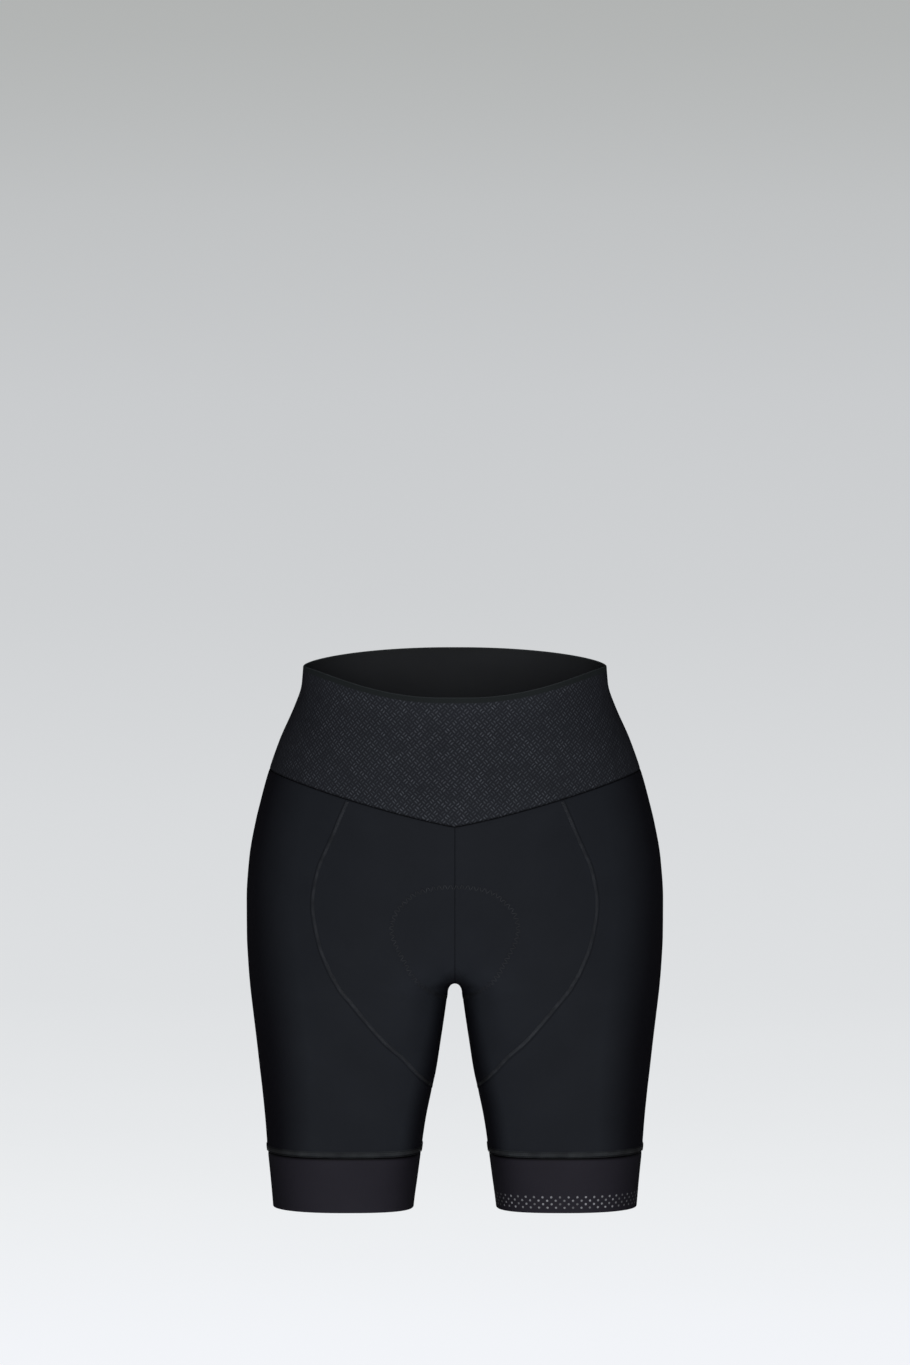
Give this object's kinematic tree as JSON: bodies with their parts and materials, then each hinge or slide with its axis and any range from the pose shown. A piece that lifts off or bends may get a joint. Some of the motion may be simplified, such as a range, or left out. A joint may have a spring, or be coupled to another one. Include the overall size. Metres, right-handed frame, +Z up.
{
  "type": "cycling shorts",
  "caption": "High-waisted women's cycling shorts, filled out as if worn, with a textured yoke, curved side panels and banded hems; open at the waist and legs.",
  "frame": {"origin": "middle of the waist opening, 2.5 mm below its sides, where the wearer holds the shorts up", "axes": "+Z up, the front faces -Y, +X towards the wearer's left leg"},
  "size_m": [0.355, 0.2454, 0.473],
  "materials": {
    "yoke": "matt double-knit with a raised basket pattern",
    "body": "smooth stretch jersey with a soft sheen",
    "band": "dense stretch band with a soft sheen"
  },
  "bodies": {
    "root": {"yoke_front": "yoke", "yoke_back": "yoke", "front_panel_left": "body", "front_panel_right": "body", "back_panel_left": "body", "back_panel_right": "body", "side_panel_left": "body", "side_panel_right": "body", "leg_band_left": "band", "leg_band_right": "band"}
  },
  "joints": []
}
